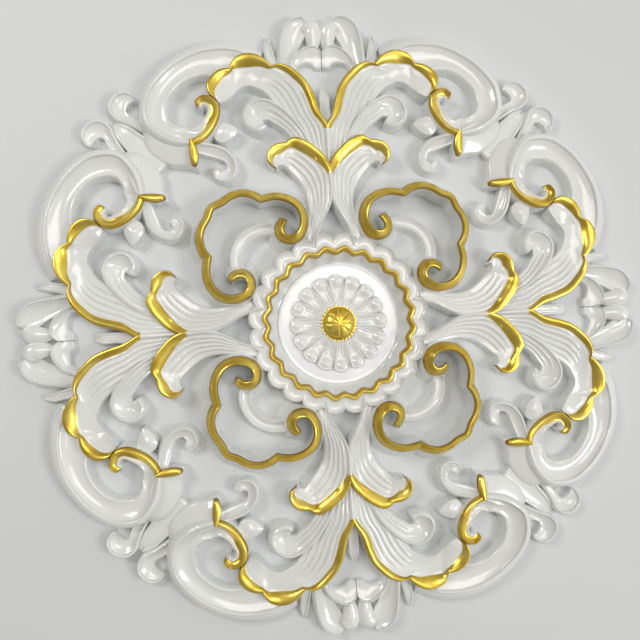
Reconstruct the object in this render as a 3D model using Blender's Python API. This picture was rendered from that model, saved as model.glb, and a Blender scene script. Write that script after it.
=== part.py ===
"""Ceiling rose: one pierced casting of moulded polyurethane.

The flat back lies against the ceiling, in the plane z = 0, and the carving hangs below it. The origin is
at the centre of the back. The rose repeats in eight octants: one is drawn, between the +X axis and the
diagonal, then mirrored and turned. It is drawn with its carving upwards and turned over at the end.
Leaves and scrolls are strips: a row of a strip names its two edges, or its middle and half width, and
how high they stand off the ceiling, in the millimetres of a drawing 800 across and 41 deep.
"""
import math

import bmesh
import bpy
from mathutils import Matrix, Vector

# Overall size, from crest tip to crest tip and from the ceiling to the top of the frames
DIAMETER = 0.800
CARVING_DEPTH = 0.042
DRAWING_DIAMETER = 800.0
DRAWING_DEPTH = 42.0
PLAN = DIAMETER / DRAWING_DIAMETER
RISE = CARVING_DEPTH / DRAWING_DEPTH

# Centre disc, dish, wavy bead and scalloped rim, each measured outwards from the one before
DISC_RADIUS = 0.0785
DISC_HEIGHT = 0.0055
DISC_GROOVE = 0.0010
DISH_HEIGHT = 0.0035
DISH_WIDTH = 0.0140
BEAD_WAVE = 0.0045
BEAD_HEIGHT = 0.0270
FLUTE_WIDTH = 0.0095
FLUTE_HEIGHT = 0.0210
RIM_WIDTH = 0.0065
RIM_SCALLOP = 0.0060
RIM_HEIGHT = 0.0240
RIM_DRAFT = 0.0060
WAVES = 24
STEPS_PER_WAVE = 3

# Flower on the disc: radii, then how far petals and the grooves between them rise off the disc
PETALS = 16
STEPS_PER_PETAL = 3
FLOWER_RADIUS = 0.0600
PETAL_LOBE = 0.0050
PETAL_EDGE = 0.0010
PETAL_CROWN_RADIUS = 0.0510
FLOWER_EYE_RADIUS = 0.0253
PETAL_RISE = 0.0050
PETAL_END_RISE = 0.0035
GROOVE_RISE = 0.0015
GROOVE_END_RISE = 0.0010

# Boss on the flower: radii, then how far each rises off the petals
BOSS_RADIUS = 0.0230
BOSS_SHOULDER_RADIUS = 0.0160
BOSS_TOP_RADIUS = 0.0046
BOSS_EDGE_RISE = 0.0030
BOSS_SHOULDER_RISE = 0.0095
BOSS_RISE = 0.0120
BOSS_SIDES = 22

# Turned pieces start this share of a step round, so that no corner lies on a mirror plane
STEP_OFFSET = 0.4
# Below 1 rounds the lobes of the rim and of the petals
LOBE_POWER = 0.7

# How far a root reaches under the piece that it grows from
ROOT = 0.0100
# Points closer than this are one point, and faces that turn by less than this are one face
MERGE = 0.00005
FLAT_ANGLE = math.radians(5.0)

# Pearl white lacquer
LACQUER_COLOUR = (0.68, 0.68, 0.66, 1.0)
LACQUER_ROUGHNESS = 0.3

# Radii that follow from the widths above
BEAD_RADIUS = DISC_RADIUS + DISH_WIDTH
FLUTE_RADIUS = BEAD_RADIUS + FLUTE_WIDTH
RIM_RADIUS = FLUTE_RADIUS + RIM_WIDTH
LEAF_ROOT = (RIM_RADIUS - ROOT) / PLAN

# Strips with two edges: x, y and height of the one, then of the other
INNER_LEAF = (
    (LEAF_ROOT, 36, 20, LEAF_ROOT, 24, 22),
    (122, 31, 20, 121, 18.5, 25),
    (138, 29, 18, 140, 8.5, 27),
    (152, 28, 16, 155, 1.5, 28),
    (180, 29, 13, 197, -1, 29),
    (189, 35, 14, 212, 9, 28),
    (195, 43, 15, 224, 24, 28),
    (200, 50, 17, 236, 40, 28),
    (206, 57, 20, 233, 54, 29),
    (207, 65, 24, 218, 77, 30),
    (202, 68, 25, 204, 75, 27),
)
OUTER_LEAF = (
    (206, 20, 14, 203, -1, 20),
    (256, 46, 19, 251, -1, 29),
    (276, 57, 19, 274, 10, 30),
    (292, 68, 19, 299, 19, 30),
    (302, 78, 18, 318, 32, 30),
    (308, 89, 18, 329, 49, 29),
    (309, 99, 18, 331, 66, 29),
    (307, 106, 18, 343, 84, 28),
    (303, 111, 18, 344, 104, 28),
    (299, 115, 20, 331, 118, 26),
    (295, 119, 22, 325, 131, 27),
    (291, 123, 24, 312, 146, 29),
    (286, 132, 26, 291, 143, 29),
)
SCROLL = (
    (344, 82, 14, 328, 96, 16),
    (355, 107, 18, 334, 117, 19),
    (357, 132, 20, 335, 135, 21),
    (353, 157, 21, 331, 151, 22),
    (342, 181, 22, 322, 169, 23),
    (322, 206, 24, 304, 191, 26),
    (292, 225, 27, 287, 200, 28),
    (261, 224, 29, 270, 200, 28),
    (243, 207, 30, 259, 189, 25),
    (238, 185, 30, 256, 174, 18),
    (240, 164, 30, 258, 166, 15),
    (246, 152, 30, 263, 162, 13),
    (258, 143, 30, 269, 159, 13),
    (273, 139, 30, 276, 158, 13),
    (286, 143, 30, 281, 159, 17),
    (292, 152, 28, 283, 160, 20),
)
LOBE = (
    (208, 167, 23, 239, 173, 28),
    (213, 182, 24, 246, 186, 22),
    (214, 198, 24, 251, 200, 20),
    (223, 214, 22, 260, 212, 20),
    (242, 229, 21, 268, 217, 20),
    (262, 231, 10, 272, 222, 12),
)
SMALL_CURL = (
    (250, 222, 11, 266, 226, 11),
    (263, 250, 14, 271, 248, 12),
    (271, 263, 16, 276, 255, 12),
    (285, 269, 17, 283, 256, 11),
    (299, 260, 14, 289, 247, 10),
    (295, 246, 12, 290, 241, 10),
)
CREST_PETAL = (
    (326, 54, 12, 326, 38, 12),
    (352, 53, 13, 345, 39, 11),
    (375, 46, 15, 363, 35, 10),
    (390, 34, 14, 370, 24, 10),
    (397, 21, 12, 372, 15, 11),
    (394, 9, 10, 374, 8, 12),
    (386, -1, 8, 376, -1, 10),
)
CREST_LOOP = (
    (320, 34, 12, 320, 26, 12),
    (342, 34, 15, 334, 24, 12),
    (358, 22, 16, 340, 12, 11),
    (360, 8, 13, 333, 4, 10),
    (346, -2, 11, 335, -2, 9),
)

# Strips about a middle line: x, y, half width and height
SIDE_LEAF = (
    (220, 19, 4, 18),
    (242, 36, 7, 24),
    (265, 55, 9, 25),
    (278, 81, 10, 22),
    (272, 93, 9, 21),
    (258, 96, 8, 21),
    (249, 88, 8, 20),
    (253, 80, 5, 17),
)
SIDE_CURL = (
    (193, 145, 3, 13),
    (194, 136, 9, 19),
    (199, 125, 8, 20),
    (209, 121, 7, 20),
    (221, 126, 7, 20),
    (229, 138, 8, 20),
    (232, 156, 9, 22),
    (236, 172, 7, 24),
)
BUD = (
    (243, 154, 3, 22),
    (245, 138, 6, 20),
    (247, 122, 7, 17),
    (246, 112, 2, 11),
)
FRAME = (
    (131, 64, 3, 34),
    (123, 68, 4, 38),
    (115, 65, 4, 40),
    (110.5, 57, 4, 41),
    (113, 48, 4, 42),
    (121, 42, 4, 42),
    (136, 40.5, 4, 42),
    (149, 46, 4, 42),
    (158, 56, 4, 42),
    (161.5, 70, 4, 42),
    (159, 90, 4, 42),
    (165, 101, 4, 42),
    (167.5, 113, 4, 42),
    (165, 126, 4, 42),
    (157, 143, 4, 42),
    (149, 156, 4, 42),
)
TIP_LEAF = (
    (326, 62, 6, 12),
    (358, 68, 5, 10),
    (373, 69, 1, 6),
)

# Strips that cross a mirror plane, one to a quarter
BUD_SPIKE = (
    (254, 0, 7, 15),
    (280, 0, 6, 13),
    (300, 0, 5, 11),
    (307, 0, 2, 7),
)
DIAGONAL_LINK = (
    (212, 212, 16, 15),
    (242, 242, 13, 13),
    (262, 262, 7, 10),
    (268, 268, 2, 7),
)

# Double ridged arc inside each frame, in drawing units: its centre on the diagonal, how far it reaches
# past a quarter turn at either end, and its radii and heights
ARC_CENTRE = 86.0
ARC_OVERRUN = math.radians(24)
ARC_STEPS = 9
ARC_PROFILE = ((50, 0), (47, 15), (38, 11), (31.5, 20), (23, 8), (22, 0))


def new_object(name, body, collection):
    """Turn a bmesh into an object of the given collection."""
    mesh = bpy.data.meshes.new(name)
    bmesh.ops.recalc_face_normals(body, faces=body.faces)
    body.to_mesh(mesh)
    body.free()
    obj = bpy.data.objects.new(name, mesh)
    collection.objects.link(obj)
    return obj


def loft(name, sections, collection, closed=False):
    """Skin a row of equal sections, each a loop of points, and close its two ends."""
    body = bmesh.new()
    loops = [[body.verts.new(point) for point in section] for section in sections]
    count = len(loops[0])
    following = loops[1:] + loops[:1] if closed else loops[1:]
    for first, second in zip(loops, following):
        for i in range(count):
            j = (i + 1) % count
            body.faces.new((first[i], first[j], second[j], second[i]))
    if not closed:
        body.faces.new(loops[0])
        body.faces.new(loops[-1])
    return new_object(name, body, collection)


def turned(name, profiles, collection):
    """Skin profiles that go round the centre, each a list of radius and height, foot first."""
    steps = len(profiles)
    body = bmesh.new()
    loops = []
    for step, profile in enumerate(profiles):
        angle = 2 * math.pi * (step + STEP_OFFSET) / steps
        loops.append([
            body.verts.new((radius * math.cos(angle), radius * math.sin(angle), height))
            for radius, height in profile])
    for first, second in zip(loops, loops[1:] + loops[:1]):
        for i in range(len(first) - 1):
            body.faces.new((first[i], first[i + 1], second[i + 1], second[i]))
    body.faces.new([loop[0] for loop in loops])
    body.faces.new([loop[-1] for loop in loops])
    return new_object(name, body, collection)


def place(x, y, height):
    """Turn a point of the drawing into metres."""
    return Vector((x * PLAN, y * PLAN, height * RISE))


def edges_from_middle(rows):
    """Give a strip about a middle line the two edges that its half widths call for."""
    edged = []
    for i, (x, y, half, height) in enumerate(rows):
        x0, y0 = rows[max(i - 1, 0)][:2]
        x1, y1 = rows[min(i + 1, len(rows) - 1)][:2]
        length = math.hypot(x1 - x0, y1 - y0)
        across_x = (y0 - y1) / length * half
        across_y = (x1 - x0) / length * half
        edged.append((x + across_x, y + across_y, height, x - across_x, y - across_y, height))
    return edged


def strip(name, rows, collection, crown=0.0, start=(2, 2), end=None):
    """Loft a strip from foot to edge to edge to foot.

    A crown raises or sinks the middle of the strip. The drafts, how far the feet stand out past the two
    edges, run evenly from those at the start to those at the end.
    """
    if len(rows[0]) == 4:
        rows = edges_from_middle(rows)
    sections = []
    for i, row in enumerate(rows):
        part = i / (len(rows) - 1)
        first = place(*row[:3])
        second = place(*row[3:])
        across = first - second
        across.z = 0
        across.normalize()
        drafts = [a + (b - a) * part for a, b in zip(start, end or start)]
        foot_first = first + across * drafts[0] * PLAN
        foot_second = second - across * drafts[1] * PLAN
        foot_first.z = 0
        foot_second.z = 0
        section = [foot_first, first, second, foot_second]
        if crown:
            section.insert(2, (first + second) / 2 + Vector((0, 0, crown * RISE)))
        sections.append(section)
    return loft(name, sections, collection)


def octant(collection):
    """Carving between the +X axis and the diagonal, with crowns and drafts in drawing units."""
    return [
        strip("scroll", SCROLL, collection, crown=-4, start=(15, 1), end=(4, 1)),
        strip("lobe", LOBE, collection, start=(3, 1)),
        strip("outer_leaf", OUTER_LEAF, collection, crown=-4, start=(1, 3)),
        strip("inner_leaf", INNER_LEAF, collection, start=(2, 3)),
        strip("side_leaf", SIDE_LEAF, collection),
        strip("side_curl", SIDE_CURL, collection, start=(1, 6)),
        strip("bud", BUD, collection, start=(4, 4)),
        strip("small_curl", SMALL_CURL, collection, start=(3, 1)),
        strip("crest_petal", CREST_PETAL, collection, crown=-2, start=(3, 1)),
        strip("crest_loop", CREST_LOOP, collection, start=(1, 2)),
        strip("tip_leaf", TIP_LEAF, collection),
        strip("frame", FRAME, collection, start=(1, 4), end=(1, 12)),
    ]


def frame_arc(collection):
    """Double ridged arc inside the frame, round a point on the diagonal."""
    sections = []
    for step in range(ARC_STEPS + 1):
        angle = -ARC_OVERRUN + (math.pi / 2 + 2 * ARC_OVERRUN) * step / ARC_STEPS
        sections.append([
            place(ARC_CENTRE + radius * math.cos(angle), ARC_CENTRE + radius * math.sin(angle), height)
            for radius, height in ARC_PROFILE])
    return loft("frame_arc", sections, collection)


def moved_copy(obj, matrix, collection):
    """Copy an object with its mesh moved by the matrix, and right side out if the matrix mirrors it."""
    mesh = obj.data.copy()
    mesh.transform(matrix)
    if matrix.determinant() < 0:
        mesh.flip_normals()
    copy = bpy.data.objects.new(obj.name, mesh)
    collection.objects.link(copy)
    return copy


def carving(collection):
    """All carving outside the ring: an octant and its mirror image, four times."""
    over_diagonal = Matrix(((0, 1, 0, 0), (1, 0, 0, 0), (0, 0, 1, 0), (0, 0, 0, 1)))
    quarter = octant(collection)
    quarter += [moved_copy(obj, over_diagonal, collection) for obj in quarter]
    quarter.append(frame_arc(collection))
    quarter.append(strip("diagonal_link", DIAGONAL_LINK, collection))
    quarter.append(strip("bud_spike", BUD_SPIKE, collection))
    for turn in range(1, 4):
        matrix = Matrix.Rotation(turn * math.pi / 2, 4, "Z")
        for obj in quarter:
            moved_copy(obj, matrix, collection)


def lobed(part):
    """0 between two rounded lobes and 1 on the crown of one; the parts count lobes."""
    return abs(math.sin(math.pi * part)) ** LOBE_POWER


def ring(collection):
    """Scalloped rim, wavy bead, dish and flat disc."""
    profiles = []
    for step in range(WAVES * STEPS_PER_WAVE):
        wave = lobed((step + STEP_OFFSET) / STEPS_PER_WAVE)
        rim = RIM_RADIUS + RIM_SCALLOP * wave
        profiles.append((
            (rim + RIM_DRAFT, 0.0),
            (rim, RIM_HEIGHT),
            (FLUTE_RADIUS, FLUTE_HEIGHT),
            (BEAD_RADIUS + BEAD_WAVE * wave, BEAD_HEIGHT),
            (DISC_RADIUS + DISC_GROOVE, DISH_HEIGHT),
            (DISC_RADIUS, DISC_HEIGHT),
        ))
    return turned("rose_casting", profiles, collection)


def flower(collection):
    """Ring of petals with rounded ends and a groove between neighbours."""
    profiles = []
    for step in range(PETALS * STEPS_PER_PETAL):
        lobe = lobed((step + STEP_OFFSET) / STEPS_PER_PETAL + 0.5)
        end = FLOWER_RADIUS + PETAL_LOBE * lobe
        end_rise = GROOVE_END_RISE + (PETAL_END_RISE - GROOVE_END_RISE) * lobe
        crown_rise = GROOVE_RISE + (PETAL_RISE - GROOVE_RISE) * lobe
        profiles.append((
            (end, 0.0),
            (end - PETAL_EDGE, DISC_HEIGHT + end_rise),
            (PETAL_CROWN_RADIUS, DISC_HEIGHT + crown_rise),
            (FLOWER_EYE_RADIUS, DISC_HEIGHT + PETAL_RISE),
        ))
    return turned("flower", profiles, collection)


def boss(collection):
    """Domed boss in the middle of the flower."""
    base = DISC_HEIGHT + PETAL_RISE
    profile = (
        (BOSS_RADIUS, 0.0),
        (BOSS_RADIUS, base + BOSS_EDGE_RISE),
        (BOSS_SHOULDER_RADIUS, base + BOSS_SHOULDER_RISE),
        (BOSS_TOP_RADIUS, base + BOSS_RISE),
    )
    return turned("boss", [profile] * BOSS_SIDES, collection)


def unite(target, others):
    """Join the target and every object of a collection into one closed solid."""
    modifier = target.modifiers.new("union", "BOOLEAN")
    modifier.operation = "UNION"
    modifier.solver = "EXACT"
    modifier.operand_type = "COLLECTION"
    modifier.collection = others
    evaluated = target.evaluated_get(bpy.context.evaluated_depsgraph_get())
    mesh = bpy.data.meshes.new_from_object(evaluated)
    target.modifiers.clear()
    target.data = mesh
    for obj in list(others.objects):
        bpy.data.objects.remove(obj)


def tidy(obj):
    """Weld close points, drop needless edges in flat faces and leave triangles."""
    body = bmesh.new()
    body.from_mesh(obj.data)
    bmesh.ops.remove_doubles(body, verts=body.verts, dist=MERGE)
    bmesh.ops.dissolve_limit(body, angle_limit=FLAT_ANGLE, verts=body.verts, edges=body.edges)
    bmesh.ops.triangulate(body, faces=body.faces)
    bmesh.ops.recalc_face_normals(body, faces=body.faces)
    body.to_mesh(obj.data)
    body.free()


def pearl_lacquer():
    """Pearl white lacquer for the whole casting."""
    material = bpy.data.materials.new("pearl_white_lacquer")
    material.use_nodes = True
    shader = material.node_tree.nodes["Principled BSDF"]
    shader.inputs["Base Color"].default_value = LACQUER_COLOUR
    shader.inputs["Roughness"].default_value = LACQUER_ROUGHNESS
    shader.inputs["Metallic"].default_value = 0.0
    return material


def new_collection(name):
    """Make a collection of the scene."""
    collection = bpy.data.collections.new(name)
    bpy.context.scene.collection.children.link(collection)
    return collection


def build():
    """Build the rose and turn it over, its carving downwards."""
    for old in list(bpy.data.objects):
        bpy.data.objects.remove(old)
    rose_collection = new_collection("ceiling_rose")
    pieces = new_collection("pieces_to_unite")

    rose = ring(rose_collection)
    flower(pieces)
    boss(pieces)
    carving(pieces)
    unite(rose, pieces)
    tidy(rose)
    rose.data.transform(Matrix.Rotation(math.pi, 4, "X"))
    rose.data.materials.clear()
    rose.data.materials.append(pearl_lacquer())


build()
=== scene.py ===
"""Finish of the ceiling rose: fine relief, pearl white lacquer and gold painted lips.

The carving is drawn as the casting's is: one octant, between the +X axis and the diagonal, in a drawing
in millimetres whose heights rise off the ceiling. It is mirrored, turned and hung under the ceiling.
"""

import itertools
import math

import bmesh
import bpy
import numpy as np
from mathutils import Matrix, Vector

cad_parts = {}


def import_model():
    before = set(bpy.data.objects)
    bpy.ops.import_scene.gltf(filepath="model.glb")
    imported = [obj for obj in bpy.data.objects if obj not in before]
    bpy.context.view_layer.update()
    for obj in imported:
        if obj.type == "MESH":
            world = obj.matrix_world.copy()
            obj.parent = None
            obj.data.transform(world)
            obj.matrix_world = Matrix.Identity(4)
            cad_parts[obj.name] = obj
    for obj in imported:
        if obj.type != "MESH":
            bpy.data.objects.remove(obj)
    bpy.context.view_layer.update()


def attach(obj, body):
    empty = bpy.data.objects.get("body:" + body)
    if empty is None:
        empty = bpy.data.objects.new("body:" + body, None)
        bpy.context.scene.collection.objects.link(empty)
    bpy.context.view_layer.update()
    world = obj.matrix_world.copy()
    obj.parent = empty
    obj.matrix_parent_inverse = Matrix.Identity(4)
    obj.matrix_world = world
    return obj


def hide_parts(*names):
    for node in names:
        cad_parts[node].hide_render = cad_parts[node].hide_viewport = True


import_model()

# Metres to a millimetre of the drawing
MM = 0.001

# Each shape's back lies this much deeper than the last one's, so that no two backs share a plane
BACK_STEP = 0.004
backs = itertools.count()

# Faces of a strip: between two rows, up a wall below and beside its edge, across a lip, between the lips
STEP = 2.7
WALL_STEPS = 4
EDGE_STEPS = 4
LIP_STEPS = 8
MIDDLE_STEPS = 16
LEAF_STEPS = 46

# How far a gold lip's paint reaches down its wall
GOLD_DEPTH = 5.0

# Rows of a curve that lie closer than this count as this far apart
SHORTEST_SPAN = 0.5

# Least width that is divided by
TINY = 1e-9

# Angles of the sections in the rounded nose of a strip and of a frame
STRIP_NOSE = np.radians([25, 45, 60, 72, 81, 87, 90])[:, None]
FRAME_NOSE = np.radians([90, 84, 72, 58, 40, 20])[:, None]

# Angle past which an edge of a piece stays sharp, and distance in metres under which points are welded
SHARP_ANGLE = math.radians(50)
WELD = 1e-7

# Material slots of every piece
PAINT = 0
GOLD = 1
BACK = 2

# Centre disc, dish, wavy bead, scalloped rim, flower and boss: radii, heights and counts
DISC_RADIUS = 78.5
DISC_HEIGHT = 5.5
BEAD_RADIUS = 91.2
BEAD_WAVE = 5.2
BEAD_HALF = 3.2
BEAD_FOOT = 22.5
BEAD_HEIGHT = 27.0
DISH_DEPTH = 19.0
DISH_OVERLAP = 0.5
RIM_RADIUS = 108.5
RIM_SCALLOP = 7.0
RIM_HEIGHT = 24.0
RIM_DRAFT = 4.0
RIM_EDGE_DEPTH = 3.0
RIM_BELLY = 0.3
RIM_LIP = 1.4
RIM_LIP_RISE = 1.5
FLUTE_START = 1.2
FLUTE_DEPTH = 2.6
WAVES = 24
WAVE_SECTIONS = 30
PETALS = 16
PETAL_SECTIONS = 28
PETAL_START = 21.0
PETAL_END = 64.0
PETAL_ROUNDING = 7.0
PETAL_HEIGHT = 9.3
BOSS_RADIUS = 23.0
BOSS_SKIRT = 12.5
BOSS_DOME = 10.0
BOSS_STAR = 1.3
BOSS_NOTCHES = 28
BOSS_RAYS = 8
BOSS_SECTIONS = 224
LEAF_ROOT = 98.5

# Rows of strips: x, y and height of edge A, then of edge B
INNER_LEAF = (
    (LEAF_ROOT, 36, 20, LEAF_ROOT, 24, 22),
    (122, 31, 20, 121, 18.5, 25),
    (138, 29, 18, 140, 8.5, 27),
    (151, 27.5, 16, 155, 1.5, 28),
    (164, 28.5, 14, 178, -1, 28),
    (175, 31.5, 13, 197, -1, 28),
    (183, 36, 14, 211, 5, 27),
    (190, 41.5, 15, 224, 17, 27),
    (196, 47, 16, 234, 31, 27),
    (201, 52, 17, 238, 43, 26),
    (205, 56, 19, 232, 54, 26),
    (206, 59, 20, 231, 61, 27),
    (206, 62, 21, 228, 70, 28),
    (205, 65, 22, 219, 77, 28),
    (203, 66, 23, 208, 77, 28),
    (201, 66, 24, 202, 71, 26),
)
INNER_LEAF_LIP = (1.5, 2, 2, 2.5, 3.5, 7, 11, 13, 14, 12, 8, 11, 13, 12, 9, 5)
OUTER_LEAF = (
    (206, 20, 14, 203, -1, 20),
    (232, 33, 17, 230, -1, 25),
    (256, 46, 18, 251, -1, 28),
    (270, 54, 18, 267, 8, 28),
    (283, 62, 18, 290, 15, 28),
    (292, 68, 18, 303, 20, 28),
    (299, 74, 18, 318, 32, 28),
    (304, 81, 18, 328, 45, 28),
    (307, 88, 18, 331, 57, 28),
    (309, 93, 18, 329, 66, 27),
    (309, 98, 18, 338, 75, 28),
    (308, 103, 18, 344, 87, 28),
    (306, 107, 18, 345, 100, 27),
    (303, 111, 18, 340, 112, 26),
    (299, 114, 19, 328, 119, 25),
    (296, 117, 21, 327, 128, 26),
    (293, 120, 23, 320, 140, 27),
    (289, 124, 25, 308, 147, 28),
    (286, 129, 25, 296, 145, 28),
    (285, 133, 25, 289, 138, 27),
)
OUTER_LEAF_LIP = (4, 5, 7, 9, 9, 9, 9, 8, 6, 5, 10, 15, 15, 11, 5, 9, 12, 11, 8, 5)
SCROLL = (
    (344, 82, 14, 322, 92, 14),
    (355, 107, 18, 324, 112, 15),
    (357, 132, 20, 320, 130, 15),
    (353, 157, 21, 326, 149, 16),
    (342, 181, 22, 322, 171, 17),
    (322, 206, 24, 305, 193, 18),
    (292, 225, 26, 284, 202, 19),
    (261, 223, 28, 266, 200, 20),
    (245, 205, 29, 258, 190, 20),
    (236, 172, 29, 257, 178, 16),
    (242, 158, 29, 254, 167, 20),
    (251, 148, 29, 260, 157, 23),
    (262, 141, 29, 268, 151, 24.5),
    (274, 137, 29, 276, 147, 25),
    (285, 139, 29, 282, 148, 25),
    (292, 147, 29, 284, 151, 25),
    (293, 156, 28, 285, 155, 25),
    (288, 163, 27, 282, 158, 24),
)
SCROLL_LIP = (3, 3, 3, 3, 3, 3, 3, 3, 4, 5, 6.5, 7.5, 9, 9, 9, 9, 9, 9)
LOBE = (
    (208, 167, 18, 239, 173, 28),
    (213, 182, 17, 246, 186, 24),
    (214, 198, 16, 251, 200, 22),
    (223, 214, 15, 260, 212, 21),
    (242, 229, 14, 268, 217, 20),
    (262, 231, 9, 272, 222, 12),
)
SMALL_CURL = (
    (250, 222, 11, 266, 226, 11),
    (262, 240, 13, 275, 238, 11),
    (268, 252, 15, 279, 247, 10),
    (272, 263, 16, 282, 251, 9),
    (281, 270, 17, 285, 252, 9),
    (294, 269, 17, 288, 251, 9),
    (304, 260, 16, 290, 249, 10),
    (306, 250, 15, 293, 246, 11),
    (302, 243, 14, 295, 242, 12),
)
CREST_PETAL = (
    (326, 55, 13, 326, 36, 12),
    (342, 54, 15, 342, 34, 10),
    (356, 53, 16, 352, 31, 9),
    (370, 51, 17, 362, 27, 9),
    (384, 46, 17.5, 371, 21, 11),
    (393, 36, 17.5, 379, 18, 12.5),
    (396, 25, 17, 386, 15, 14),
)
CREST_LOOP = (
    (318, 44, 12, 318, 36, 11),
    (334, 42, 14, 330, 36, 10),
    (345, 36, 16, 337, 31, 9.5),
    (353, 27, 17, 339.5, 22, 9),
    (358, 16, 17, 338, 14, 9),
    (357, 7, 16, 333, 8.5, 9),
    (350, 0.4, 14, 334, 0.4, 9),
)
TICK = (
    (239, 171.5, 2, 29),
    (231, 170, 4, 28.5),
    (221, 169, 5, 27.5),
    (211, 169.5, 3.5, 26),
)
SIDE_LEAF = (
    (216, 13, 16, 212, 23, 15),
    (235, 25, 22, 228, 37, 18),
    (250, 33, 24, 241, 46, 19),
    (262, 42, 25, 252, 55, 18),
    (275, 55, 25, 260, 66, 17),
    (285, 69, 24, 266, 76, 15),
    (289, 82, 23, 262.5, 86.9, 13),
    (286, 93, 22, 262.6, 85.9, 12),
    (278, 101, 22, 263.1, 85, 12),
    (269, 104, 22, 264, 84.6, 12),
    (260, 102, 22, 265.1, 84.6, 12),
    (254, 95, 22, 266.1, 85.2, 12.5),
    (252, 86, 21, 266.5, 86.4, 13),
    (256, 79, 20, 264, 84, 15),
)
CREST_FOLD = (
    (386, 18, 8, 14),
    (382, 11, 10, 14.5),
    (374, 10, 10, 13.5),
    (365, 9.5, 8, 11),
    (357, 10, 5, 9),
)
SIDE_CURL = (
    (199, 147, 14, 204, 139, 15),
    (191, 142, 16, 202, 136, 15),
    (189, 132, 17, 203, 133, 12),
    (195, 121, 18, 206, 130, 10),
    (206, 118, 19, 211, 130, 11),
    (216, 121, 20, 215, 132, 12),
    (225, 128, 20, 218, 138, 12),
    (231, 138, 21, 221, 147, 13),
    (234, 150, 22, 224, 158, 15),
    (236, 166, 24, 228, 172, 18),
)
TIP_LEAF = (
    (326, 68, 11, 326, 56, 11),
    (344, 71, 11, 344, 60, 11),
    (360, 73, 10, 360, 64, 10),
    (373, 70, 7, 373, 67, 7),
)

# Ridge of a frame, from its volute to the diagonal
FRAME = (
    (131.5, 62),
    (124, 66.2),
    (116, 65),
    (111.5, 57),
    (113, 49),
    (121, 43),
    (136, 41),
    (148, 46),
    (156, 56),
    (160, 70),
    (157, 91),
    (163, 100),
    (166, 113),
    (163, 126),
    (155, 139),
    (150, 150),
)
# Row of the cusp, reach of the volute's nose, widths at the volute's end and then all along, height at
# that end and its rise a row
FRAME_CUSP = 10
FRAME_REACH = 5.0
FRAME_WIDTHS = (1.0, 1.1, 1.08, 1.0)
FRAME_END_HEIGHT = 0.80
FRAME_END_RISE = 0.05
# The frame's section: offset outwards from the ridge and height, with its gold stretch
FRAME_PROFILE = (
    (-3.6, 0), (-3.2, 18), (-2.9, 30), (-2.8, 36), (-2.3, 39.2), (-1.5, 40.9), (-0.6, 41.6), (0.4, 41.3),
    (1.2, 40.6), (1.9, 39.8), (3.2, 38.8), (5, 37.2), (6.4, 35.2), (7.6, 32.2), (8.8, 27),
    (10.6, 20), (13, 13), (16.5, 6), (20, 0),
)
FRAME_GOLD = (3, 14)

# Rows about a middle line: x, y, half width and height
BUD_SPIKE = (
    (254, 0, 7, 15),
    (280, 0, 6, 13),
    (300, 0, 5, 11),
    (307, 0, 2, 7),
)
DIAGONAL_LINK = (
    (212, 212, 16, 14),
    (242, 242, 13, 12),
    (262, 262, 7, 10),
    (268, 268, 2, 7),
)

# Pointed bud beside the hook: middle, half sizes, lean, height, how far its crown rises, sides and rings
BUD_CENTRE = (250.0, 129.0)
BUD_HALVES = (11.0, 15.5)
BUD_LEAN = math.radians(8)
BUD_HEIGHT = 23.0
BUD_CREST = 4.5
BUD_SIDES = 64
BUD_RINGS = 12
# The bud's wall, as shares of its half sizes and of its height
BUD_WALL = ((0, 0), (1.15, 0), (1.08, 0.4), (1.03, 0.6))

# Double ridged arc inside each frame: centre on the diagonal, overrun at its ends, sections, middle
# radius, and its profile's radii and heights
ARC_CENTRE = 86.0
ARC_OVERRUN = math.radians(24)
ARC_SECTIONS = 61
ARC_MIDDLE = 36.0
ARC_PROFILE = (
    (50, 0), (49.4, 6), (48.4, 12), (47.2, 14.8), (46.4, 15.4), (45.5, 14.8), (44.4, 13.0), (42, 11.2),
    (39, 10.6), (36.6, 11.4), (35.2, 13.6), (34.4, 15.2), (33.5, 15.7), (32.5, 14.8), (31.4, 11.6),
    (30.2, 7), (28.8, 3), (28, 0),
)

# Painted shade on steep sides of raised paint: Z of the normal where it starts to show, and where it covers
# all
SIDE_SHADE_START = -0.70
SIDE_SHADE_FULL = -0.15

# Roughness of the clear coat over the white lacquers
COAT_ROUGHNESS = 0.07

# Unevenness of sprayed paint: its grains to a metre, drawn coarser than the real ones so that they show,
# and their height in millimetres at full strength
GRAINS = 260.0
GRAIN_HEIGHT = 0.6

# Surroundings in the reflections: where their shade ends and their light starts in the direction's x,
# and their brightness
SHADE_END = 0.0
LIGHT_START = 0.6
SURROUND_BRIGHTNESS = 0.74

# Ceiling panel in metres: half its side and its height, a little under the backs so that they get light
CEILING_HALF = 3.0
CEILING_HEIGHT = -0.0009

# Camera fitted to the photograph: place in metres, the way it looks, its up, and its lens in millimetres
CAMERA_PLACE = (-0.0971, 0.0018, -0.7789)
CAMERA_AHEAD = (0.0944, -0.0098, 0.9955)
CAMERA_UP = (0.0646, -0.9978, -0.0160)
CAMERA_LENS = 33.75
CAMERA_SENSOR = 36.0


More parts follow.
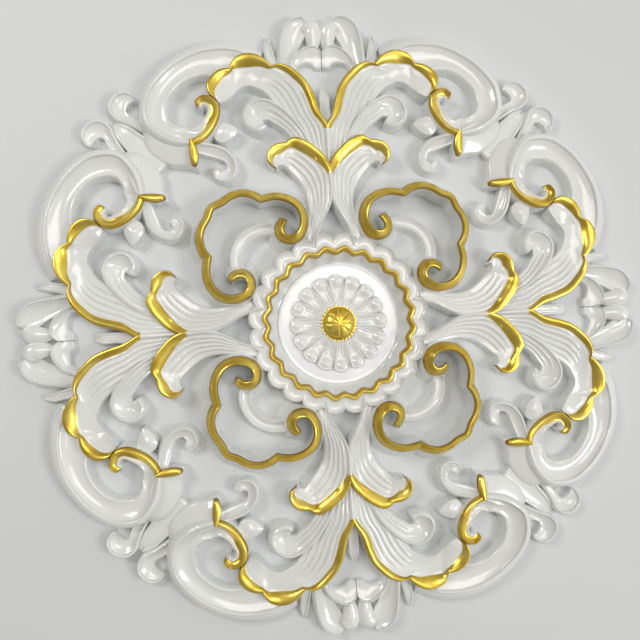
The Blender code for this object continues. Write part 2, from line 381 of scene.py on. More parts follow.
def smooth_part(points):
    """Curve through rows of numbers, with a cubic to a span.

    The slope at a row is the mean of the slopes of its two spans, each weighted by the other's length.
    """
    gaps = np.maximum(
        np.hypot(*(points[1:, :2] - points[:-1, :2]).T),
        np.hypot(*(points[1:, 3:5] - points[:-1, 3:5]).T))
    gaps = np.maximum(gaps, SHORTEST_SPAN)[:, None]
    chords = (points[1:] - points[:-1]) / gaps
    slopes = np.empty_like(points)
    slopes[0] = chords[0]
    slopes[-1] = chords[-1]
    slopes[1:-1] = (chords[:-1] * gaps[1:] + chords[1:] * gaps[:-1]) / (gaps[:-1] + gaps[1:])
    if len(points) > 2:
        slopes[0] = 1.5 * chords[0] - 0.5 * slopes[1]
        slopes[-1] = 1.5 * chords[-1] - 0.5 * slopes[-2]
    spans = []
    for i, gap in enumerate(gaps[:, 0]):
        count = max(2, math.ceil(gap / STEP))
        t = (np.arange(count) / count)[:, None]
        spans.append(
            (2 * t ** 3 - 3 * t ** 2 + 1) * points[i]
            + (t ** 3 - 2 * t ** 2 + t) * gap * slopes[i]
            + (3 * t ** 2 - 2 * t ** 3) * points[i + 1]
            + (t ** 3 - t ** 2) * gap * slopes[i + 1])
    spans.append(points[-1:])
    return np.vstack(spans)


def spline(points, corners):
    """Smooth curve through the rows that breaks its direction at the corner rows."""
    ends = [0, *corners, len(points) - 1]
    parts = [smooth_part(points[a:b + 1]) for a, b in zip(ends, ends[1:])]
    return np.vstack([parts[0]] + [part[1:] for part in parts[1:]])


def edges_from_middle(rows):
    """Rows of two edges, at right angles to a middle line, from its rows, half width and height."""
    table = np.asarray(rows, float)
    middle = table[:, :2]
    along = np.gradient(middle, axis=0)
    along /= np.hypot(*along.T)[:, None]
    side = np.column_stack([-along[:, 1], along[:, 0]]) * table[:, 2:3]
    return np.hstack([middle + side, table[:, 3:], middle - side, table[:, 3:]])


def ramp(x, start, end):
    """Smooth step from 0 at start to 1 at end: three squares of the way less twice its cube."""
    x = np.clip((x - start) / (end - start), 0, 1)
    return x * x * (3 - 2 * x)


def bead(x):
    """Rounded bead for x from 0 to 1, and 0 outside: a half wave of a sine to the power 0.8."""
    return np.sin(np.pi * np.clip(x, 0, 1)) ** 0.8


def nose(row, towards, reach):
    """Sections past the end of a curve that draw in to a point like a rounded nose.

    Each is the end's section, narrowed by the cosine of an angle and moved ahead by its sine.
    """
    middle = (row[:2] + row[3:5]) / 2
    way = middle - (towards[:2] + towards[3:5]) / 2
    way /= np.hypot(*way)
    half = np.hypot(*(row[:2] - row[3:5])) / 2
    sections = np.repeat(row[None], len(STRIP_NOSE), 0)
    centre = middle + np.sin(STRIP_NOSE) * way * half * reach
    sections[:, :2] = centre + np.cos(STRIP_NOSE) * (row[:2] - middle)
    sections[:, 3:5] = centre + np.cos(STRIP_NOSE) * (row[3:5] - middle)
    sections[:, -1:] = np.cos(STRIP_NOSE)
    return sections


def wall_columns(top, foot, edge_depth, belly):
    """Offsets and heights up a wall, from its foot to just under its edge.

    The wall is straight where belly is 0 and a quarter of an ellipse where it is 1. Its faces are finer
    from edge_depth under the edge upwards.
    """
    start = np.clip(1 - edge_depth / np.maximum(top, 0.001), 0.05, 0.95)
    lower = start * np.linspace(0, 1, WALL_STEPS + 1)
    upper = 1 - (1 - start) * (1 - np.linspace(0, 1, EDGE_STEPS + 1)[1:-1]) ** 2
    share = np.hstack([lower, upper])
    return foot * ((1 - belly) * (1 - share) + belly * np.sqrt(1 - share ** 2)), top * share


def strip(rows, corners=(), feet_a=(2, 2), feet_b=(2, 2), lip_a=(1.5, 0), lip_b=(1.5, 0), sag=0.0,
          ribs=(), noses=(0.3, 0.3), gold=(), belly=1.0, middle=MIDDLE_STEPS):
    """Relief strip between two edges: a grid of points, and a material for each of its faces.

    A section runs up wall A, over lip A, through the hollow between the lips, over lip B and down wall B.
    Its height is a straight line from edge to edge, plus the sag as a parabola, a bead on each lip with a
    fine groove beside it, and a bell curve for each rib. Corners are rows where the direction breaks.
    Feet give how far each wall spreads at the start and at the end, and belly how round the walls are.
    A lip is its width, or a width for each row, and its rise. A rib is its share of the width, half
    width, height, first and last row. Noses give how far the rounded ends reach, in half widths. Gold
    names painted stretches as lip, first and last row, and middle is how many faces lie between the lips.
    """
    table = np.asarray(rows, float)
    if table.shape[1] == 4:
        table = edges_from_middle(rows)
    extra = [np.broadcast_to(np.asarray(lip[0], float), len(table)) for lip in (lip_a, lip_b)]
    number = np.arange(len(table))
    # Columns: edge A and its height, edge B and its height, widths of lips A and B, row number, swell
    body = spline(np.column_stack([table, *extra, number, np.ones(len(table))]), corners)
    first = nose(body[0], body[1], noses[0])[::-1]
    last = nose(body[-1], body[-2], noses[1])
    curve = np.vstack([first, body, last])
    row = curve[:, 8:9]
    share_along = row / number[-1]
    swell = np.clip(curve[:, 9:10], 0, 1)
    a, b = curve[:, :2], curve[:, 3:5]
    width = np.hypot(*(b - a).T)[:, None]
    way = (b - a) / np.maximum(width, TINY)
    way[:len(first)] = way[len(first)]
    way[-len(last):] = way[-len(last) - 1]
    lip_width_b = np.minimum(curve[:, 7:8], width * 0.48)
    lip_width_a = np.minimum(curve[:, 6:7], width * 0.98 - lip_width_b)

    across = np.linspace(0, 1, LIP_STEPS + 1)
    between = np.linspace(0, 1, middle + 1)[1:-1]
    along = np.hstack([
        lip_width_a * across,
        lip_width_a + (width - lip_width_a - lip_width_b) * between,
        width - lip_width_b * across[::-1]])
    u = along / np.maximum(width, TINY)
    height = curve[:, 2:3] * (1 - u) + curve[:, 5:6] * u + 4 * sag * u * (1 - u)
    for distance, lip, lip_width in ((along, lip_a, lip_width_a), (width - along, lip_b, lip_width_b)):
        share = distance / np.maximum(lip_width, TINY)
        height = height + lip[1] * (bead(share) - 0.35 * np.exp(-((share - 1.15) / 0.25) ** 2))
    for place, half, tall, start, end in ribs:
        ridge = tall * np.exp(-((u - place) * width / half) ** 2)
        height = height + ridge * ramp(row, start - 1, start + 1) * ramp(-row, -end - 1, -end + 1)
    height = height * swell ** 0.3

    foot_a = (feet_a[0] + (feet_a[1] - feet_a[0]) * share_along) * swell
    foot_b = (feet_b[0] + (feet_b[1] - feet_b[0]) * share_along) * swell
    out_a, rise_a = wall_columns(height[:, :1], foot_a, GOLD_DEPTH, belly)
    out_b, rise_b = wall_columns(height[:, -1:], foot_b, GOLD_DEPTH, belly)
    offset = np.hstack([-out_a, along, width + out_b[:, ::-1]])
    z = np.hstack([rise_a, height, rise_b[:, ::-1]])
    grid = np.dstack([a[:, :1] + way[:, :1] * offset, a[:, 1:] + way[:, 1:] * offset, z])
    return grid, paint(grid, row, gold)


def paint(grid, row, gold):
    """Material of each face of a strip: gold on the named stretches of its lips and round their edges."""
    rows, columns = grid.shape[:2]
    faces = np.full((rows - 1, columns), PAINT)
    place = (row[1:] + row[:-1]) / 2
    column = np.arange(columns)[None]
    reach = WALL_STEPS + EDGE_STEPS + LIP_STEPS
    for lip, start, end in gold:
        on_a = (column >= WALL_STEPS) & (column < reach)
        on_b = (column >= columns - 1 - reach) & (column < columns - 1 - WALL_STEPS)
        across = {"a": on_a, "b": on_b, "all": (column >= WALL_STEPS) & (column < columns - 1 - WALL_STEPS)}
        faces[across[lip] & (place >= start) & (place <= end)] = GOLD
    return faces


def bud():
    """Pointed bud on an upright wall, as a grid whose rows go round it.

    Its outline is an ellipse whose width changes along it with the root of 1.1 plus 0.8 of the sine. Its
    crown rises from the edge inwards, by the power 1.5 of the distance from the middle.
    """
    wall_share, wall_height = np.array(BUD_WALL, float).T
    inwards = np.linspace(1, 0, BUD_RINGS)
    share = np.hstack([wall_share, inwards])
    z = np.hstack([wall_height * BUD_HEIGHT, BUD_HEIGHT - BUD_CREST * inwards ** 1.5])
    angle = np.linspace(0, 2 * math.pi, BUD_SIDES + 1)[:, None]
    across = BUD_HALVES[0] * np.cos(angle) * np.sqrt(1.1 + 0.8 * np.sin(angle)) * share
    along = BUD_HALVES[1] * np.sin(angle) * share
    c, s = math.cos(BUD_LEAN), math.sin(BUD_LEAN)
    grid = np.dstack([
        BUD_CENTRE[0] + c * across - s * along,
        BUD_CENTRE[1] + s * across + c * along,
        np.broadcast_to(z, across.shape)])
    return grid, np.full((BUD_SIDES, len(z)), PAINT)


def sweep(path, profile, corners, nose_reach, gold):
    """Grid of a profile carried along a path, and a material for each of its faces.

    A path row is x, y and how wide and how high the profile is there. A profile point is its offset to
    the right of the path and its height, and lies on the normal of the path. At each end the profile
    goes on by nose_reach times the sine of an angle, narrowed by its cosine and lowered by the root of
    that. Gold gives the first painted column and the one after the last.
    """
    line = np.asarray(path, float)
    line = spline(np.column_stack([line, line[:, :2]]), corners)[:, :4]
    ends = []
    for row, towards in ((line[0], line[1]), (line[-1], line[-2])):
        way = (row[:2] - towards[:2]) / np.hypot(*(row[:2] - towards[:2]))
        nose_rows = np.repeat(row[None], len(FRAME_NOSE), 0)
        nose_rows[:, :2] += way * nose_reach * np.sin(FRAME_NOSE)
        nose_rows[:, 2:3] *= np.cos(FRAME_NOSE)
        nose_rows[:, 3:4] *= np.sqrt(np.maximum(np.cos(FRAME_NOSE), 0))
        ends.append(nose_rows)
    line = np.vstack([ends[0], line, ends[1][::-1]])
    along = np.gradient(line[:, :2], axis=0)
    along /= np.maximum(np.hypot(*along.T), TINY)[:, None]
    offset, height = np.array(profile, float).T
    grid = np.dstack([
        line[:, :1] + along[:, 1:] * offset * line[:, 2:3],
        line[:, 1:2] - along[:, :1] * offset * line[:, 2:3],
        height * line[:, 3:4]])
    faces = np.full((len(line) - 1, len(profile)), PAINT)
    faces[:, gold[0]:gold[1]] = GOLD
    return grid, faces


def frame_ridge():
    """Cartouche frame over a quarter: octant, corner on the diagonal, mirror image."""
    octant = []
    for number, (x, y) in enumerate(FRAME):
        wide = FRAME_WIDTHS[min(number, len(FRAME_WIDTHS) - 1)]
        high = min(1.0, FRAME_END_HEIGHT + FRAME_END_RISE * number)
        octant.append((x, y, wide, high))
    mirrored = [(y, x, wide, high) for x, y, wide, high in octant[-2::-1]]
    last = len(octant) + len(mirrored) - 1
    corners = (FRAME_CUSP, last - FRAME_CUSP)
    return sweep(octant + mirrored, FRAME_PROFILE, corners, FRAME_REACH, FRAME_GOLD)


def arc():
    """Double ridged arc inside the frame, as a grid whose rows are its sections.

    The profile turns round the centre. At the ends it shrinks towards its middle radius by the root of
    1 less the 24th power of the way along, and its height by the root of that.
    """
    r, z = np.array(ARC_PROFILE, float).T
    angle = np.linspace(-ARC_OVERRUN, math.pi / 2 + ARC_OVERRUN, ARC_SECTIONS)[:, None]
    way = np.abs(np.linspace(-1, 1, ARC_SECTIONS))[:, None]
    swell = np.sqrt(np.clip(1 - way ** 24, 0, 1))
    radius = ARC_MIDDLE + (r - ARC_MIDDLE) * swell
    grid = np.dstack([
        ARC_CENTRE + radius * np.cos(angle),
        ARC_CENTRE + radius * np.sin(angle),
        z * swell ** 0.5])
    return grid, np.full((ARC_SECTIONS - 1, len(r)), PAINT)


def quarter_turns(pieces):
    """Each piece four times round the centre."""
    out = []
    for grid, faces in pieces:
        for c, s in ((1, 0), (0, 1), (-1, 0), (0, -1)):
            turned = grid @ np.array([[c, s, 0], [-s, c, 0], [0, 0, 1]])
            out.append((turned, faces))
    return out


def octants(pieces):
    """Each piece and its mirror image over the diagonal, four times round the centre."""
    mirrored = [(grid[:, :, [1, 0, 2]], faces) for grid, faces in pieces]
    return quarter_turns(pieces + mirrored)


def add_piece(name, grids, materials, wrap=True):
    """Closed mesh object from grids of points in the drawing, welded where a grid meets itself.

    With wrap, the last column of a grid joins its first. Faces of each grid are turned outwards by the
    sign of the volume inside them, and those that lie against the ceiling are left bare.
    """
    points, quads, slots = [], [], []
    start = 0
    for grid, faces in grids:
        rows, columns = grid.shape[:2]
        index = start + np.arange(rows * columns).reshape(rows, columns)
        right = np.roll(index, -1, 1)
        quad = np.stack([index[:-1], right[:-1], right[1:], index[1:]], 2)
        if not wrap:
            quad = quad[:, :-1]
            faces = faces[:, :-1]
        quad = quad.reshape(-1, 4)
        depth = BACK_STEP * next(backs)
        heights = np.maximum(grid[:, :, 2], depth)
        place = (np.dstack([grid[:, :, :2], heights]) * (1, -1, -1)).reshape(-1, 3)
        tops = heights.reshape(-1)[quad - start].max(1)
        p, q, r, s = (place[quad[:, i] - start] for i in range(4))
        volume = (np.cross(p, q) * r).sum() + (np.cross(p, r) * s).sum()
        points.append(place * MM)
        quads.append(quad if volume > 0 else quad[:, ::-1])
        slots.append(np.where(tops <= depth, BACK, faces.reshape(-1)))
        start += rows * columns
    mesh = bpy.data.meshes.new(name)
    mesh.from_pydata(np.vstack(points), [], np.vstack(quads))
    mesh.polygons.foreach_set("material_index", np.concatenate(slots).astype(np.int32))
    body = bmesh.new()
    body.from_mesh(mesh)
    bmesh.ops.remove_doubles(body, verts=body.verts, dist=WELD)
    body.to_mesh(mesh)
    body.free()
    for material in materials:
        mesh.materials.append(material)
    mesh.shade_smooth()
    mesh.set_sharp_from_angle(angle=SHARP_ANGLE)
    piece = bpy.data.objects.new(name, mesh)
    bpy.context.scene.collection.objects.link(piece)
    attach(piece, "root")
    return piece


def rounded_wave(angle, count):
    """0 between lobes and 1 on their crowns: the size of a sine of half the count's angle, to the 0.7."""
    return np.abs(np.sin(count * angle / 2)) ** 0.7


def ring():
    """Scalloped rim, flutes, wavy gold bead and dish, as a grid whose rows are radial sections.

    The rim's radius is a constant plus a rounded wave. The bead's is a constant plus the square of the
    same sine, with a tenth of the rounded wave. The flutes sink by a sine across to the power 0.6, the
    bead rises by a sine to the power 0.7, and the dish falls by a sine to the power 0.9.
    """
    angle = np.linspace(0, 2 * math.pi, WAVES * WAVE_SECTIONS + 1)[:, None]
    wave = rounded_wave(angle, WAVES)
    rim = RIM_RADIUS + RIM_SCALLOP * wave
    middle = BEAD_RADIUS + BEAD_WAVE * (0.1 * wave + 0.9 * np.sin(WAVES * angle / 2) ** 2)
    out, rise = wall_columns(
        np.full_like(rim, RIM_HEIGHT), np.full_like(rim, RIM_DRAFT), RIM_EDGE_DEPTH, RIM_BELLY)
    lip = np.linspace(0, 1, 6)
    flute = np.linspace(0, 1, 9)[1:]
    bead_turn = np.linspace(0, 1, 11)[1:]
    dish = np.linspace(0, 1, 9)[1:]
    lip_end = rim - RIM_LIP
    flute_end = middle + BEAD_HALF
    dish_start = middle - BEAD_HALF
    r = np.hstack([
        rim + out,
        rim - RIM_LIP * lip,
        lip_end + (flute_end - lip_end) * flute,
        flute_end - 2 * BEAD_HALF * bead_turn,
        dish_start + (DISC_RADIUS - DISH_OVERLAP - dish_start) * dish,
    ])
    sunk = FLUTE_DEPTH * np.sin(np.pi * flute) ** 0.6 * (0.4 + 0.6 * wave) + 1.5 * (1 - wave) * flute
    bead_rise = (BEAD_HEIGHT - BEAD_FOOT) * np.sin(np.pi * bead_turn) ** 0.7
    z = np.hstack([
        rise,
        RIM_HEIGHT + RIM_LIP_RISE * np.sin(np.pi * lip) - 0.6 * lip + 0 * rim,
        RIM_HEIGHT - FLUTE_START - sunk,
        BEAD_FOOT + bead_rise + 0 * rim,
        BEAD_FOOT - DISH_DEPTH * np.sin(dish * math.pi / 2) ** 0.9 + 0 * rim,
        0 * rim,
    ])
    r = np.hstack([r, r[:, -1:]])
    grid = np.dstack([r * np.cos(angle), r * np.sin(angle), z])
    faces = np.full((grid.shape[0] - 1, grid.shape[1]), PAINT)
    before = out.shape[1] + len(lip) + len(flute)
    faces[:, before - 1:before + len(bead_turn)] = GOLD
    return grid, faces


def disc():
    """Flat glossy disc with a fine raised edge: a profile of radii and heights turned round the axis."""
    profile = ((0, 0), (DISC_RADIUS, 0), (DISC_RADIUS, 4.2), (78.3, 5.2), (77.8, 5.7), (77.2, 5.9),
               (76.4, 5.7), (75.6, 5.4), (74, 5.4), (50, 5.4), (0, 5.4))
    sections = 193
    r, z = np.array(profile, float).T
    angle = np.linspace(0, 2 * math.pi, sections)[:, None]
    grid = np.dstack([r * np.cos(angle), r * np.sin(angle), np.broadcast_to(z, (sections, len(z)))])
    return grid, np.full((sections - 1, len(z)), PAINT)


def flower():
    """Sixteen hollow petals with rounded, raised ends and a fine double line between neighbours.

    A petal's end is a half circle in the share of its half width. Its height is a constant plus bell
    curves for its border, its end and its two inner ridges, less smooth steps for the groove beside it
    and a parabola for its hollow. At the outer edge it rounds down to a little under the disc's face.
    """
    angle = np.linspace(0, 2 * math.pi, PETALS * PETAL_SECTIONS + 1)[:, None]
    side = np.abs(((angle * PETALS / (2 * math.pi) + 0.5) % 1) * 2 - 1)
    end = PETAL_END - PETAL_ROUNDING * (1 - np.sqrt(np.clip(1 - side ** 2, 0, 1)))
    share = np.linspace(0, 1, 40)
    r = PETAL_START + (end - PETAL_START) * share
    border = np.exp(-((side - 0.80) / 0.10) ** 2) * ramp(r, 24, 34)
    end_border = np.exp(-((end - r - 1.6) / 1.0) ** 2) * (side < 0.9)
    groove = ramp(side, 0.86, 1.0) * (0.3 + 0.7 * ramp(r, 40, 58))
    round_end = np.exp(-(((r - 55) / 6.0) ** 2 + (side / 0.55) ** 2))
    hollow = (1 - side ** 2) * ramp(r, 26, 36) * ramp(-r, -54, -46)
    inner_ridges = np.exp(-((side - 0.38) / 0.10) ** 2) * ramp(-r, -46, -34)
    z = PETAL_HEIGHT + 1.3 * border + 1.1 * end_border - 2.8 * groove + 3.2 * round_end - 1.2 * hollow
    z = z + 1.0 * inner_ridges + 1.0 * ramp(-r, -34, -22)
    floor = DISC_HEIGHT - 0.5
    z = floor + (z - floor) * np.sqrt(np.clip(1 - ramp(share, 0.93, 1.0) ** 2, 0, 1))
    r = np.hstack([0 * angle, r, end, 0 * angle])
    z = np.hstack([z[:, :1], z, 0 * angle, 0 * angle])
    grid = np.dstack([r * np.cos(angle), r * np.sin(angle), z])
    return grid, np.full((grid.shape[0] - 1, grid.shape[1]), PAINT)


def boss():
    """Gold dome with a notched skirt and an eight rayed star of grooves.

    The dome is nearly a quarter of an ellipse turned round the axis. The skirt's edge is drawn in and
    out by the size of a sine, and the grooves are a high power of a cosine round it, deepest a little
    past half way up.
    """
    angle = np.linspace(0, 2 * math.pi, BOSS_SECTIONS + 1)[:, None]
    notch = np.abs(np.sin(angle * BOSS_NOTCHES / 2)) ** 0.6
    ray = np.abs(np.cos(angle * BOSS_RAYS / 2)) ** 14
    turn = np.linspace(0, 1, 22)
    r = np.hstack([
        0 * angle,
        BOSS_RADIUS - 1.8 + 1.8 * notch,
        BOSS_RADIUS - 1.6 + 1.6 * notch,
        BOSS_RADIUS - 2.4 + 0 * angle,
        (BOSS_RADIUS - 3.0) * np.cos(turn * math.pi / 2) + 0 * angle])
    dome = BOSS_SKIRT + BOSS_DOME * np.sin(turn * math.pi / 2) ** 0.9
    star = BOSS_STAR * ray * np.sin(np.pi * np.clip((turn - 0.25) / 0.75, 0, 1)) ** 0.7
    z = np.hstack([
        0 * angle,
        0 * angle,
        BOSS_SKIRT - 1.0 + 0.8 * notch,
        BOSS_SKIRT - 0.5 + 0 * angle,
        dome - star])
    grid = np.dstack([r * np.cos(angle), r * np.sin(angle), z])
    return grid, np.full((BOSS_SECTIONS, grid.shape[1]), GOLD)


def linear(colour):
    """Linear RGBA from an sRGB hex colour."""
    channels = [int(colour[i:i + 2], 16) / 255 for i in (0, 2, 4)]
    return (*[c / 12.92 if c <= 0.04045 else ((c + 0.055) / 1.055) ** 2.4 for c in channels], 1.0)


def add_node(tree, kind, links=(), **values):
    """Add a node, set its inputs by name and link (input name, output socket) pairs to it."""
    node = tree.nodes.new(kind)
    for key, value in values.items():
        if hasattr(node, key):
            setattr(node, key, value)
        else:
            node.inputs[key.replace("_", " ")].default_value = value
    for key, socket in links:
        tree.links.new(socket, node.inputs[key])
    return node


def shaded_sides(tree, paint_colour, side_shade_colour):
    """Colour socket of a paint with painted shade on its steep sides: a darker colour standing in for the
    shade on its walls.
    """
    surface = add_node(tree, "ShaderNodeNewGeometry")
    facing = add_node(tree, "ShaderNodeSeparateXYZ", [("Vector", surface.outputs["Normal"])])
    steep = add_node(tree, "ShaderNodeMapRange", [("Value", facing.outputs["Z"])])
    steep.inputs["From Min"].default_value = SIDE_SHADE_START
    steep.inputs["From Max"].default_value = SIDE_SHADE_FULL
    mixed = add_node(
        tree, "ShaderNodeMixRGB", [("Fac", steep.outputs["Result"]), ("Color1", paint_colour)])
    mixed.inputs["Color2"].default_value = linear(side_shade_colour)
    return mixed.outputs["Color"]


def painted(name, colour, roughness, metallic, bump, clouds, coat, side_shade):
    """Paint with slight cloudiness in colour and gloss, painted shade on its steep sides and unevenness in
    its surface.

    Colour and roughness give both ends of the cloudiness, and clouds how many of them lie in a metre.
    """
    material = bpy.data.materials.new(name)
    material.use_nodes = True
    tree = material.node_tree
    shader = tree.nodes["Principled BSDF"]
    shader.inputs["Metallic"].default_value = metallic
    shader.inputs["Coat Weight"].default_value = coat
    shader.inputs["Coat Roughness"].default_value = COAT_ROUGHNESS
    place = add_node(tree, "ShaderNodeTexCoord")
    cloud = add_node(
        tree, "ShaderNodeTexNoise", [("Vector", place.outputs["Object"])],
        Scale=clouds, Detail=3.0)
    tint = add_node(tree, "ShaderNodeValToRGB", [("Fac", cloud.outputs["Fac"])])
    tint.color_ramp.elements[0].position = 0.3
    tint.color_ramp.elements[1].position = 0.7
    tint.color_ramp.elements[0].color = linear(colour[0])
    tint.color_ramp.elements[1].color = linear(colour[1])
    gloss = add_node(tree, "ShaderNodeMapRange", [("Value", cloud.outputs["Fac"])])
    gloss.inputs["To Min"].default_value = roughness[0]
    gloss.inputs["To Max"].default_value = roughness[1]
    grain = add_node(
        tree, "ShaderNodeTexNoise", [("Vector", place.outputs["Object"])],
        Scale=GRAINS, Detail=2.0)
    uneven = add_node(
        tree, "ShaderNodeBump", [("Height", grain.outputs["Fac"])],
        Strength=bump, Distance=GRAIN_HEIGHT * MM)
    # Base colour, with painted shade mixed onto the steep sides
    tree.links.new(shaded_sides(tree, tint.outputs["Color"], side_shade), shader.inputs["Base Color"])
    tree.links.new(gloss.outputs["Result"], shader.inputs["Roughness"])
    tree.links.new(uneven.outputs["Normal"], shader.inputs["Normal"])
    return material


def area_light(name, place, size, power, colour):
    """Square soft light that points at the middle of the rose."""
    data = bpy.data.lights.new(name, "AREA")
    data.size = size
    data.energy = power
    data.color = linear(colour)[:3]
    light = bpy.data.objects.new(name, data)
    light.location = place
    light.rotation_euler = (-Vector(place)).to_track_quat("-Z", "Y").to_euler()
    bpy.context.scene.collection.objects.link(light)


def ceiling():
    """Pale ceiling panel that shows from below only."""
    mesh = bpy.data.meshes.new("ceiling")
    corners = [(x * CEILING_HALF, y * CEILING_HALF, CEILING_HEIGHT)
               for x, y in ((-1, 1), (1, 1), (1, -1), (-1, -1))]
    mesh.from_pydata(corners, [], [(0, 1, 2, 3)])
    panel = bpy.data.objects.new("ceiling", mesh)
    bpy.context.scene.collection.objects.link(panel)
    material = bpy.data.materials.new("matt_ceiling_paint")
    material.use_nodes = True
    tree = material.node_tree
    shader = tree.nodes["Principled BSDF"]
    shader.inputs["Base Color"].default_value = linear("DADCDD")
    shader.inputs["Roughness"].default_value = 0.8
    facing = add_node(tree, "ShaderNodeNewGeometry")
    clear = add_node(tree, "ShaderNodeBsdfTransparent")
    mixed = add_node(tree, "ShaderNodeMixShader", [("Fac", facing.outputs["Backfacing"])])
    tree.links.new(shader.outputs["BSDF"], mixed.inputs[1])
    tree.links.new(clear.outputs["BSDF"], mixed.inputs[2])
    tree.links.new(mixed.outputs["Shader"], tree.nodes["Material Output"].inputs["Surface"])
    mesh.materials.append(material)


def camera():
    """Camera at the photograph's place under the rose, looking up."""
    data = bpy.data.cameras.new("camera")
    data.sensor_width = CAMERA_SENSOR
    data.lens = CAMERA_LENS
    data.clip_start = 0.05
    view = bpy.data.objects.new("camera", data)
    ahead = Vector(CAMERA_AHEAD).normalized()
    right = ahead.cross(Vector(CAMERA_UP)).normalized()
    up = right.cross(ahead)
    turn = Matrix((right, up, -ahead)).transposed().to_4x4()
    view.matrix_world = Matrix.Translation(CAMERA_PLACE) @ turn
    bpy.context.scene.collection.objects.link(view)
    bpy.context.scene.camera = view


def world():
    """Pale surroundings in the reflections, darker on one side, and plain ones behind the rose."""
    surroundings = bpy.data.worlds.new("surroundings")
    surroundings.use_nodes = True
    tree = surroundings.node_tree
    background = tree.nodes["Background"]
    place = add_node(tree, "ShaderNodeTexCoord")
    side = add_node(tree, "ShaderNodeSeparateXYZ", [("Vector", place.outputs["Generated"])])
    tint = add_node(tree, "ShaderNodeValToRGB", [("Fac", side.outputs["X"])])
    tint.color_ramp.interpolation = "EASE"
    tint.color_ramp.elements[0].position = SHADE_END
    tint.color_ramp.elements[1].position = LIGHT_START
    tint.color_ramp.elements[0].color = linear("948F88")
    tint.color_ramp.elements[1].color = linear("F4F6F8")
    ray = add_node(tree, "ShaderNodeLightPath")
    seen = add_node(
        tree, "ShaderNodeMixRGB",
        [("Fac", ray.outputs["Is Camera Ray"]), ("Color1", tint.outputs["Color"])])
    seen.inputs["Color2"].default_value = linear("F0F1F2")
    tree.links.new(seen.outputs["Color"], background.inputs["Color"])
    background.inputs["Strength"].default_value = SURROUND_BRIGHTNESS
    bpy.context.scene.world = surroundings
    bpy.context.scene.view_settings.view_transform = "Standard"


# Sprayed pearl white lacquer of the carving: a soft, slightly cloudy white under a clear gloss, with
# painted shade of nearly its own colour on its steep sides
pearl = painted(
    "pearl_white_lacquer", ("E0E2DF", "E9EAE7"), (0.20, 0.30), 0.0, 0.06, 9.0, 0.9, "E2E5E3")
# Brushed on antique gold paint of the lips, cord and boss: warm metal, with painted brown shade on its
# steep sides
gold = painted(
    "antique_gold_paint", ("E2BE42", "F4DC70"), (0.24, 0.34), 0.85, 0.15, 40.0, 0.0, "8F651A")
# Polished gloss white lacquer of the centre disc: brighter, with sharper reflections, and a slightly darker
# painted shade on its steep sides
disc_white = painted(
    "gloss_white_lacquer", ("F0F2F5", "F4F5F7"), (0.10, 0.14), 0.0, 0.03, 6.0, 0.5, "EEF0F3")
# Bare moulded foam of the back, which lies against the ceiling: matt, a little darker and warmer, with a
# darker painted shade on its steep sides
bare = painted(
    "bare_white_casting", ("D6D4CC", "E0DED7"), (0.60, 0.75), 0.0, 0.25, 12.0, 0.0, "D2D0C8")
finish = (pearl, gold, bare)
disc_finish = (disc_white, gold, bare)

add_piece("scrolls", octants([
    strip(SCROLL, corners=(9,), feet_a=(15, 4), feet_b=(6, 5), noses=(0.3, 0.8), sag=-4,
          lip_a=(SCROLL_LIP, 1.2), gold=[("a", 9, 17)]),
]), finish)
add_piece("lobes", octants([strip(LOBE, feet_a=(5, 4), feet_b=(1, 1), sag=1.5)]), finish)
add_piece("lobe_ticks", octants([
    strip(TICK, feet_a=(1, 1), feet_b=(1, 1), sag=1.5, noses=(0.5, 1.0), gold=[("all", 0, 3)]),
]), finish)
add_piece("outer_leaves", octants([
    strip(OUTER_LEAF, corners=(9, 14), feet_a=(5, 2), feet_b=(3, 3), lip_b=(OUTER_LEAF_LIP, 2.0), sag=-3,
          ribs=((0.14, 1.3, 1.9, 0.5, 6), (0.3, 1.3, 2.4, 0.5, 6.5), (0.46, 1.3, 2.6, 0.5, 6.5),
                (0.62, 1.3, 2.4, 1, 6), (0.76, 1.2, 1.9, 1, 5)),
          gold=[("b", 1.8, 19)], middle=LEAF_STEPS),
]), finish)
add_piece("inner_leaves", octants([
    strip(INNER_LEAF, corners=(10,), feet_a=(4, 2), feet_b=(3, 3), lip_b=(INNER_LEAF_LIP, 2.0), sag=-2,
          ribs=((0.2, 1.2, 1.9, 1, 9), (0.38, 1.2, 2.1, 1, 9), (0.56, 1.2, 2.1, 1, 8),
                (0.74, 1.2, 1.8, 1.5, 7)),
          gold=[("b", 4.7, 15)], middle=LEAF_STEPS),
]), finish)
add_piece("side_leaves", octants([
    strip(SIDE_LEAF, feet_a=(3, 7), lip_a=(2.5, 1.5), sag=-3, noses=(0.3, 0.8),
          ribs=((0.4, 1.3, 2.4, 0, 5), (0.72, 1.3, 2.2, 0, 4.5)), middle=LEAF_STEPS),
]), finish)
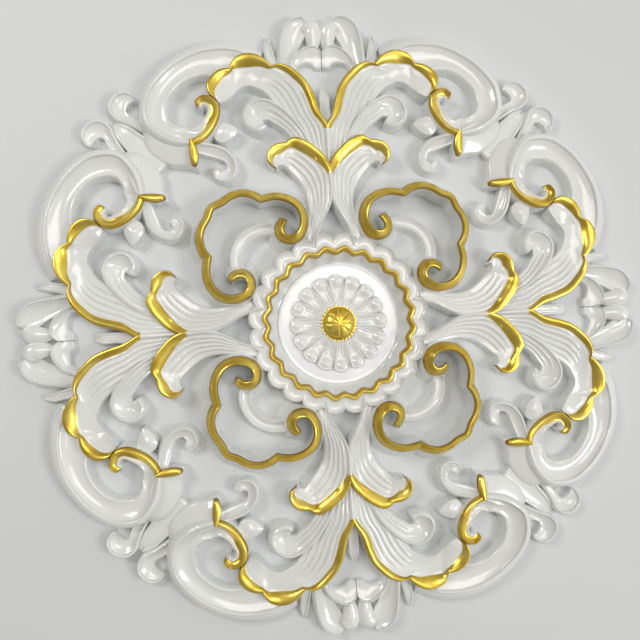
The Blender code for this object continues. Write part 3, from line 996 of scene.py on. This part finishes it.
add_piece("side_curls", octants([
    strip(SIDE_CURL, feet_a=(3, 9), lip_a=(2.5, 1.2), sag=-2, noses=(0.9, 0.3), belly=0.5),
]), finish)
add_piece("buds", octants([bud()]), finish)
add_piece("small_curls", octants([
    strip(SMALL_CURL, feet_a=(3, 3), feet_b=(1, 1), lip_a=(3, 1.5), sag=-3, noses=(0.3, 0.9)),
]), finish)
add_piece("crest_petals", octants([
    strip(CREST_PETAL, feet_a=(8, 2.5), feet_b=(1, 1), lip_a=(1.8, 1.4), lip_b=(2, 0), sag=-5,
          noses=(0.3, 0.25), belly=0.5),
    strip(CREST_FOLD, feet_a=(2, 2), feet_b=(1, 1), sag=4, noses=(0.3, 0.6)),
]), finish)
add_piece("crest_loops", octants([
    strip(CREST_LOOP, feet_a=(2, 2), feet_b=(2, 2), lip_a=(2.2, 1.6), lip_b=(2, 0.5), sag=-2,
          noses=(0.3, 0.02)),
]), finish)
add_piece("tip_leaves", octants([
    strip(TIP_LEAF, lip_a=(2, 1.2), lip_b=(2, 1.2), sag=-1.0),
]), finish)
add_piece("bud_spikes", quarter_turns([
    strip(BUD_SPIKE, lip_a=(2.5, 0.8), lip_b=(2.5, 0.8), sag=-1.0),
]), finish)
add_piece("diagonal_links", quarter_turns([
    strip(DIAGONAL_LINK, lip_a=(4, 1.0), lip_b=(4, 1.0), sag=-2.0),
]), finish)
add_piece("cartouche_frames", quarter_turns([frame_ridge()]), finish)
add_piece("frame_arcs", quarter_turns([arc()]), finish)
rose_ring = add_piece("scalloped_ring", [ring()], finish)
add_piece("centre_disc", [disc()], disc_finish, wrap=False)
add_piece("flower", [flower()], finish, wrap=False)
add_piece("boss", [boss()], finish, wrap=False)
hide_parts("rose_casting")

ceiling()
camera()
world()
area_light("key_light", (1.45, 0.45, -1.7), 0.55, 11.5, "FFFFFF")
area_light("fill_light", (-1.2, -0.9, -1.5), 0.55, 11.5, "FFFFFF")
area_light("front_light", (0.3, -0.4, -2.4), 1.0, 13, "FFFAF4")
area_light("back_light", (-0.8, -1.2, 1.8), 1.6, 20, "FFFFFF")
